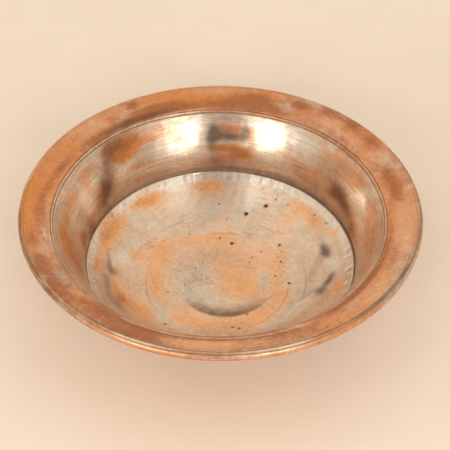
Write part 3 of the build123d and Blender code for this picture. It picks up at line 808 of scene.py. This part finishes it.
spk = 0.30 + 0.95 * np.exp(-(((Xf + 28) / 26) ** 2 + ((Yf - 12) / 32) ** 2)) + 0.9 * np.exp(-(((Xf - 60) / 14) ** 2 + ((Yf - 20) / 34) ** 2))
spk += 0.55 * np.exp(-(((Xf - 10) / 50) ** 2 + ((Yf + 58) / 12) ** 2))
spk = np.where(up_side, spk, -1.0)
wf, kf = pack_masks(mf_, line_f, spk)
put_attr(floor_piece, "wear_and_shade", wf)
put_attr(floor_piece, "mark", kf)


# ------------------------------------------------------------------ materials
class Mat:
    def __init__(self, name):
        self.m = bpy.data.materials.new(name)
        self.m.use_nodes = True
        self.t = self.m.node_tree
        self.t.nodes.clear()
        self.out = self.t.nodes.new("ShaderNodeOutputMaterial")
        self.bsdf = self.t.nodes.new("ShaderNodeBsdfPrincipled")
        self.t.links.new(self.bsdf.outputs[0], self.out.inputs[0])
        self.co = self.t.nodes.new("ShaderNodeTexCoord").outputs["Object"]

    def put(self, node, key, v):
        if v is None:
            return
        if isinstance(v, (int, float, tuple)):
            node.inputs[key].default_value = v
        else:
            self.t.links.new(v, node.inputs[key])

    def math(self, op, a, b=None, c=None):
        n = self.t.nodes.new("ShaderNodeMath")
        n.operation = op
        self.put(n, 0, a); self.put(n, 1, b); self.put(n, 2, c)
        return n.outputs[0]

    def step(self, v, lo, hi, a=0.0, b=1.0):
        n = self.t.nodes.new("ShaderNodeMapRange")
        n.interpolation_type = "SMOOTHSTEP"
        self.put(n, "Value", v)
        n.inputs["From Min"].default_value, n.inputs["From Max"].default_value = lo, hi
        n.inputs["To Min"].default_value, n.inputs["To Max"].default_value = a, b
        return n.outputs[0]

    def lin(self, v, lo, hi, a=0.0, b=1.0):
        n = self.t.nodes.new("ShaderNodeMapRange")
        self.put(n, "Value", v)
        n.inputs["From Min"].default_value, n.inputs["From Max"].default_value = lo, hi
        n.inputs["To Min"].default_value, n.inputs["To Max"].default_value = a, b
        return n.outputs[0]

    def noise(self, scale, detail=4.0, rough=0.55, vec=None, distort=0.0):
        n = self.t.nodes.new("ShaderNodeTexNoise")
        self.put(n, "Vector", vec or self.co)
        n.inputs["Scale"].default_value = scale
        n.inputs["Detail"].default_value = detail
        n.inputs["Roughness"].default_value = rough
        n.inputs["Distortion"].default_value = distort
        return n.outputs["Fac"]

    def mix(self, f, a, b, mode="MIX"):
        n = self.t.nodes.new("ShaderNodeMix")
        n.data_type = "RGBA"
        n.blend_type = mode
        self.put(n, 0, f)
        for key, v in ((6, a), (7, b)):
            self.put(n, key, v + (1.0,) if isinstance(v, tuple) and len(v) == 3 else v)
        return n.outputs[2]

    def attr(self, name):
        n = self.t.nodes.new("ShaderNodeAttribute")
        n.attribute_name = name
        s = self.t.nodes.new("ShaderNodeSeparateColor")
        self.t.links.new(n.outputs["Color"], s.inputs[0])
        return s.outputs[0], s.outputs[1], s.outputs[2], n.outputs["Alpha"]

    def ring_vec(self, around, across):
        """Coordinates stretched along the circumference, without a seam."""
        s = self.t.nodes.new("ShaderNodeSeparateXYZ")
        self.t.links.new(self.co, s.inputs[0])
        x, y, z = s.outputs
        r = self.math("SQRT", self.math("ADD", self.math("MULTIPLY", x, x), self.math("MULTIPLY", y, y)))
        r = self.math("MAXIMUM", r, 0.004)
        c = self.t.nodes.new("ShaderNodeCombineXYZ")
        self.put(c, 0, self.math("MULTIPLY", self.math("DIVIDE", x, r), around))
        self.put(c, 1, self.math("MULTIPLY", self.math("DIVIDE", y, r), around))
        self.put(c, 2, self.math("MULTIPLY", self.math("ADD", r, z), across))
        return c.outputs[0]

    def bump(self, h, strength, dist, normal=None):
        n = self.t.nodes.new("ShaderNodeBump")
        n.inputs["Strength"].default_value = strength
        n.inputs["Distance"].default_value = dist
        self.put(n, "Height", h)
        if normal is not None:
            self.t.links.new(normal, n.inputs["Normal"])
        return n.outputs[0]


def scratches(M_, scale, thin, seed_shift, turn):
    """Short fine lines in one direction: 1 on a line, 0 elsewhere."""
    mp = M_.t.nodes.new("ShaderNodeMapping")
    M_.t.links.new(M_.co, mp.inputs["Vector"])
    mp.vector_type = "TEXTURE"
    mp.inputs["Rotation"].default_value = (0, 0, math.radians(turn))
    mp.inputs["Location"].default_value = (seed_shift, seed_shift * 0.7, 0)
    mp.inputs["Scale"].default_value = (1 / scale, 1 / (scale * thin), 2 / scale)
    n = M_.noise(1.0, 2.0, 0.5, mp.outputs[0], 0.6)
    return M_.step(n, 0.60, 0.70)


def old_metal(name, kind):
    on_floor = kind == "floor"
    M_ = Mat(name)
    bare, oxide_and_shade, dark, grey = M_.attr("wear_and_shade")
    line, warm, pale, specks = M_.attr("mark")
    big = M_.noise(26, 3.0, 0.5)
    mid = M_.noise(75, 5.0, 0.62, distort=0.4)
    fine = M_.noise(420, 4.0, 0.6)
    speck = M_.noise(1100, 2.0, 0.5)
    if on_floor:
        streak = M_.noise(1.0, 5.0, 0.65, M_.ring_vec(5.0, 260.0))
        streak2 = M_.noise(1.0, 3.0, 0.6, M_.ring_vec(7.0, 120.0))
    else:
        streak = M_.noise(1.0, 5.0, 0.65, M_.ring_vec(3.0, 850.0))
        streak2 = M_.noise(1.0, 3.0, 0.6, M_.ring_vec(7.0, 260.0))
    # where the tin has worn through
    w = M_.math("ADD", bare, M_.math("MULTIPLY", M_.math("SUBTRACT", mid, 0.5), 0.44 if on_floor else 0.70))
    w = M_.math("ADD", w, M_.math("MULTIPLY", M_.math("SUBTRACT", big, 0.5), 0.35))
    w = M_.math("ADD", w, M_.math("MULTIPLY", M_.math("SUBTRACT", streak2, 0.5), 0.20 if on_floor else 0.45))
    w = M_.math("ADD", w, M_.math("MULTIPLY", M_.math("SUBTRACT", fine, 0.5), 0.30 if on_floor else 0.42))
    bare_f = M_.step(w, 0.24, 0.86)
    if on_floor:
        tin = M_.mix(M_.step(big, 0.35, 0.65), (0.76, 0.67, 0.56), (0.82, 0.68, 0.54))
        tin = M_.mix(M_.step(mid, 0.42, 0.70), tin, (0.66, 0.57, 0.47))
        tin = M_.mix(pale, tin, (0.90, 0.82, 0.72))
        cop = M_.mix(M_.step(mid, 0.3, 0.7), (0.95, 0.62, 0.40), (0.90, 0.56, 0.34))
        cop = M_.mix(warm, cop, (0.95, 0.49, 0.21))
        cop = M_.mix(pale, cop, (0.93, 0.65, 0.46))
        # the underside, marked by a negative specks channel, was never tinned
        cop = M_.mix(M_.step(specks, -0.3, -0.8), cop, M_.mix(M_.step(mid, 0.3, 0.7), (0.70, 0.32, 0.16), (0.60, 0.26, 0.13)))
    else:
        tin = M_.mix(M_.step(big, 0.35, 0.65), (0.74, 0.62, 0.50), (0.80, 0.64, 0.49))
        tin = M_.mix(M_.step(mid, 0.42, 0.70), tin, (0.66, 0.54, 0.42))
        tin = M_.mix(pale, tin, (0.97, 0.87, 0.74))
        cop = M_.mix(M_.step(mid, 0.3, 0.7), (0.79, 0.40, 0.215), (0.71, 0.335, 0.175))
        cop = M_.mix(warm, cop, (0.76, 0.31, 0.10))
        cop = M_.mix(pale, cop, (0.85, 0.51, 0.32))
    col = M_.mix(bare_f, tin, cop)
    # oxide colour: real oxide, and painted shade where its mask holds that
    oxide_shade_f = M_.math("ADD", oxide_and_shade, M_.math("MULTIPLY", M_.math("SUBTRACT", M_.noise(95, 7.0, 0.72), 0.52), 0.9 if on_floor else 1.5))
    oxide_shade_f = M_.math("ADD", oxide_shade_f, M_.math("MULTIPLY", M_.math("SUBTRACT", M_.noise(430, 4.0, 0.7), 0.5), 0.60 if on_floor else 1.0))
    oxide_shade_f = M_.step(oxide_shade_f, 0.05, 1.05, 0.0, 0.85)
    col = M_.mix(oxide_shade_f, col, (0.40, 0.145, 0.06))
    gr_f = M_.step(M_.math("ADD", grey, M_.math("MULTIPLY", M_.math("SUBTRACT", M_.noise(160, 6.0, 0.7), 0.5), 0.8 if on_floor else 1.5)), 0.15, 1.05, 0.0, 0.7)
    col = M_.mix(gr_f, col, (0.66, 0.56, 0.44) if on_floor else (0.47, 0.37, 0.26))
    dk_f = M_.step(M_.math("ADD", dark, M_.math("MULTIPLY", M_.math("SUBTRACT", M_.noise(130, 7.0, 0.72), 0.5), 0.9 if on_floor else 0.6)), 0.10, 1.1, 0.0, 0.92)
    dk_f = M_.math("MAXIMUM", dk_f, M_.math("MULTIPLY", line, 0.92))
    if not on_floor:
        long_ = M_.noise(1.0, 3.0, 0.6, M_.ring_vec(4.0, 430.0))
        lines = M_.math("MULTIPLY", M_.step(long_, 0.56, 0.70), M_.step(M_.noise(30, 2.0, 0.5), 0.42, 0.62, 0.1, 0.5))
        dk_f = M_.math("MAXIMUM", dk_f, M_.math("MULTIPLY", lines, M_.math("SUBTRACT", 1.0, M_.step(bare, 0.60, 0.80))))
    # tiny pits, thick where the specks channel is high
    sp = M_.math("ADD", M_.noise(760, 3.0, 0.65), M_.math("MULTIPLY", specks, 0.14))
    sp = M_.step(sp, 0.72, 0.78, 0.0, 0.80)
    dk_f = M_.math("MAXIMUM", dk_f, sp)
    sc = M_.math("MAXIMUM", scratches(M_, 700, 0.05, 0.3, 28), scratches(M_, 640, 0.045, 1.7, 117))
    sc = M_.math("MAXIMUM", sc, scratches(M_, 760, 0.05, 2.9, 72))
    sc = M_.math("MULTIPLY", sc, M_.step(M_.noise(34, 2.0, 0.5), 0.45, 0.62))
    dk_f = M_.math("MAXIMUM", dk_f, M_.math("MULTIPLY", sc, 0.22 if on_floor else 0.10))
    col = M_.mix(dk_f, col, (0.085, 0.05, 0.032))
    if on_floor:
        # the bottoms of the pits are nearly black
        col = M_.mix(M_.step(line, 0.66, 0.92), col, (0.03, 0.018, 0.012))
    if on_floor:
        st = M_.lin(streak, 0.3, 0.7, 0.93, 1.06)
    else:
        on_rim = M_.step(bare, 0.58, 0.74)
        low, high = M_.lin(on_rim, 0, 1, 0.76, 0.91), M_.lin(on_rim, 0, 1, 1.18, 1.07)
        st = M_.math("ADD", low, M_.math("MULTIPLY", M_.lin(streak, 0.3, 0.7), M_.math("SUBTRACT", high, low)))
    n = M_.t.nodes.new("ShaderNodeVectorMath"); n.operation = "SCALE"
    mott = M_.lin(M_.noise(260, 6.0, 0.75), 0.3, 0.7, 0.90, 1.09)
    M_.t.links.new(col, n.inputs[0]); M_.put(n, "Scale", M_.math("MULTIPLY", M_.math("MULTIPLY", st, mott), M_.lin(speck, 0.3, 0.7, 0.92, 1.07)))
    M_.t.links.new(n.outputs[0], M_.bsdf.inputs["Base Color"])
    r = M_.lin(bare_f, 0, 1, 0.34, 0.40) if on_floor else M_.lin(bare_f, 0, 1, 0.33, 0.40)
    r = M_.math("SUBTRACT", r, M_.math("MULTIPLY", pale, 0.03 if on_floor else 0.06))
    r = M_.math("ADD", r, M_.math("MULTIPLY", M_.math("SUBTRACT", fine, 0.5), 0.12 if on_floor else 0.05))
    r = M_.math("ADD", r, M_.math("MULTIPLY", M_.math("SUBTRACT", streak, 0.5), 0.16))
    r = M_.math("ADD", r, M_.math("MULTIPLY", M_.math("MAXIMUM", dk_f, oxide_shade_f), 0.16))
    M_.t.links.new(M_.math("MINIMUM", M_.math("MAXIMUM", r, 0.14), 0.85), M_.bsdf.inputs["Roughness"])
    M_.t.links.new(M_.lin(M_.math("MAXIMUM", dk_f, M_.math("MULTIPLY", oxide_shade_f, 0.6)), 0, 1, 1.0, 0.55), M_.bsdf.inputs["Metallic"])
    if on_floor:
        h = M_.math("ADD", M_.math("MULTIPLY", streak, 0.12), M_.math("MULTIPLY", fine, 0.5))
        h = M_.math("ADD", h, M_.math("MULTIPLY", mid, 0.6))
    else:
        h = M_.math("ADD", M_.math("MULTIPLY", streak, 0.42), M_.math("MULTIPLY", fine, 0.14))
        h = M_.math("ADD", h, M_.math("MULTIPLY", mid, 0.35))
    h = M_.math("SUBTRACT", h, M_.math("MULTIPLY", M_.math("MAXIMUM", sc, sp), 0.25))
    M_.t.links.new(M_.bump(h, 0.30, 0.0004), M_.bsdf.inputs["Normal"])
    return M_.m


mat_wall = old_metal("copper_wall_metal", "wall")
mat_floor = old_metal("tinned_floor_metal", "floor")
wall.data.materials.append(mat_wall)
floor_piece.data.materials.append(mat_floor)

sm_ = Mat("solder_metal")
n1 = sm_.noise(240, 4.0, 0.6)
sm_.t.links.new(sm_.mix(sm_.step(n1, 0.35, 0.7), (0.44, 0.33, 0.24), (0.62, 0.50, 0.39)), sm_.bsdf.inputs["Base Color"])
sm_.t.links.new(sm_.lin(n1, 0.3, 0.7, 0.45, 0.7), sm_.bsdf.inputs["Roughness"])
sm_.bsdf.inputs["Metallic"].default_value = 1.0
sm_.t.links.new(sm_.bump(sm_.noise(500, 4.0, 0.6), 0.5, 0.0004), sm_.bsdf.inputs["Normal"])
solder.data.materials.append(sm_.m)

im_ = Mat("iron_ring_metal")
n1 = im_.noise(180, 5.0, 0.65)
im_.t.links.new(im_.mix(im_.step(n1, 0.35, 0.7), (0.055, 0.045, 0.04), (0.20, 0.10, 0.06)), im_.bsdf.inputs["Base Color"])
im_.t.links.new(im_.lin(n1, 0.3, 0.7, 0.5, 0.8), im_.bsdf.inputs["Roughness"])
im_.t.links.new(im_.lin(n1, 0.4, 0.7, 1.0, 0.4), im_.bsdf.inputs["Metallic"])
im_.t.links.new(im_.bump(im_.noise(600, 4.0, 0.6), 0.5, 0.0004), im_.bsdf.inputs["Normal"])
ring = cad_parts["rim_wire"]
if ring.data.materials:
    for k in range(len(ring.data.materials)):
        ring.material_slots[k].material = im_.m
else:
    ring.data.materials.append(im_.m)

for ob, node, slot in ((wall, "wall_and_rim", "copper_wall"), (floor_piece, "floor_dish", "tinned_floor"), (solder, "seam_solder", "solder")):
    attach(ob, "root")
    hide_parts(node)

# ------------------------------------------------------------------ stage, light, camera
fl = bpy.data.meshes.new("studio_floor")
g = 4.0
fl.from_pydata([(-g, -g, 0), (g, -g, 0), (g, g, 0), (-g, g, 0)], [], [(0, 1, 2, 3)])
flo = bpy.data.objects.new("studio_floor", fl)
scene.collection.objects.link(flo)
pm = Mat("pale_paper")
n1 = pm.noise(9, 4.0, 0.55)
sxy = pm.t.nodes.new("ShaderNodeSeparateXYZ")
pm.t.links.new(pm.co, sxy.inputs[0])
# the paper is painted lighter towards the front: painted light on the floor before the basin
paper = pm.mix(pm.step(n1, 0.3, 0.7), (0.81, 0.72, 0.61), (0.835, 0.745, 0.635))
pm.t.links.new(pm.mix(pm.step(sxy.outputs[1], -0.05, -0.40), paper, (0.92, 0.81, 0.70)), pm.bsdf.inputs["Base Color"])
pm.bsdf.inputs["Roughness"].default_value = 0.9
pm.bsdf.inputs["Specular IOR Level"].default_value = 0.15
fl.materials.append(pm.m)

world = bpy.data.worlds.new("studio")
scene.world = world
world.use_nodes = True
wt = world.node_tree
bg = wt.nodes["Background"]
tc = wt.nodes.new("ShaderNodeTexCoord")
sx = wt.nodes.new("ShaderNodeSeparateXYZ")
wt.links.new(tc.outputs["Generated"], sx.inputs[0])
# warm pale backdrop behind and above, darker room on the front side, a dark flag at each side
def wmath(op, x, y=None, z=None):
    n = wt.nodes.new("ShaderNodeMath")
    n.operation = op
    for k, v in enumerate((x, y, z)):
        if v is None:
            continue
        if isinstance(v, float):
            n.inputs[k].default_value = v
        else:
            wt.links.new(v, n.inputs[k])
    return n.outputs[0]


def wstep(v, lo, hi):
    n = wt.nodes.new("ShaderNodeMapRange")
    n.interpolation_type = "SMOOTHSTEP"
    wt.links.new(v, n.inputs["Value"])
    n.inputs["From Min"].default_value, n.inputs["From Max"].default_value = lo, hi
    return n.outputs[0]


front = wstep(sx.outputs["Y"], -0.90, -0.20)
flags = wstep(wmath("ABSOLUTE", sx.outputs["X"]), 0.995, 0.93)
mx = wt.nodes.new("ShaderNodeMix")
mx.data_type = "RGBA"
# and a dark strip overhead, from the front to the zenith
strip = wstep(wmath("ABSOLUTE", sx.outputs["X"]), 0.26, 0.08)
strip = wmath("MULTIPLY", strip, wstep(sx.outputs["Y"], 0.0, -0.20))
open_ = wmath("SUBTRACT", 1.0, wmath("MULTIPLY", strip, 0.80))
wt.links.new(wmath("MULTIPLY", wmath("MULTIPLY", front, flags), open_), mx.inputs[0])
mx.inputs[6].default_value = (0.16, 0.125, 0.10, 1)
mx.inputs[7].default_value = (1.0, 0.87, 0.73, 1)
wt.links.new(mx.outputs[2], bg.inputs[0])
bg.inputs[1].default_value = 0.90


def softbox(name, az, el, dist, half_w, half_h, radiance, target=(0, 0, 0.06)):
    """half_w and half_h are the half angles that it covers, in degrees."""
    ld = bpy.data.lights.new(name, "AREA")
    ld.shape = "RECTANGLE"
    w, h = 2 * dist * math.tan(math.radians(half_w)), 2 * dist * math.tan(math.radians(half_h))
    ld.size, ld.size_y = w, h
    ld.energy = radiance * math.pi * w * h
    ld.color = (1.0, 0.96, 0.90)
    ob = bpy.data.objects.new(name, ld)
    a, e = math.radians(az), math.radians(el)
    pos = Vector((math.sin(a) * math.cos(e), -math.cos(a) * math.cos(e), math.sin(e))) * dist + Vector(target)
    ob.location = pos
    ob.rotation_mode = "QUATERNION"
    ob.rotation_quaternion = (Vector(target) - pos).to_track_quat("-Z", "Y")
    scene.collection.objects.link(ob)
    return ob


softbox("softbox_left", -32, 20, 9.0, 7.5, 15.5, 8.0)
softbox("softbox_right", 27.5, 21.5, 9.0, 5.5, 17, 8.5)
softbox("softbox_left_upper", -50, 60, 9.0, 6, 9, 1.0)
softbox("softbox_right_upper", 54, 60, 9.0, 6, 9, 0.8)
# fill for the paper only: it doesn't show in the metal
fill = softbox("softbox_fill", 0, 32, 9.0, 24, 14, 2.5)
fill.visible_glossy = False

UNIT = 0.190
D, E, ROLLC, YAW, PIT = 6.44454, 0.729199583, 0.0113385654, 0.00403787939, 0.0156415330
cam_d = bpy.data.cameras.new("camera")
cam_d.sensor_width = 36.0
cam_d.lens = 1300.0 / 450.0 * 36.0
cam_o = bpy.data.objects.new("camera", cam_d)
C = Vector((0, -math.cos(E), math.sin(E))) * D * UNIT + Vector((0, 0, H / 1000.0))
A = E + PIT
fwd = Vector((math.sin(YAW) * math.cos(A), math.cos(YAW) * math.cos(A), -math.sin(A)))
right = Vector((math.cos(YAW), -math.sin(YAW), 0.0))
up = right.cross(fwd)
c_, s_ = math.cos(ROLLC), math.sin(ROLLC)
r2, u2 = c_ * right + s_ * up, -s_ * right + c_ * up
M = Matrix((( r2.x, u2.x, -fwd.x, C.x), (r2.y, u2.y, -fwd.y, C.y), (r2.z, u2.z, -fwd.z, C.z), (0, 0, 0, 1)))
cam_o.matrix_world = M
cam_d.clip_start, cam_d.clip_end = 0.05, 50
scene.collection.objects.link(cam_o)
scene.camera = cam_o
scene.view_settings.view_transform = "Standard"
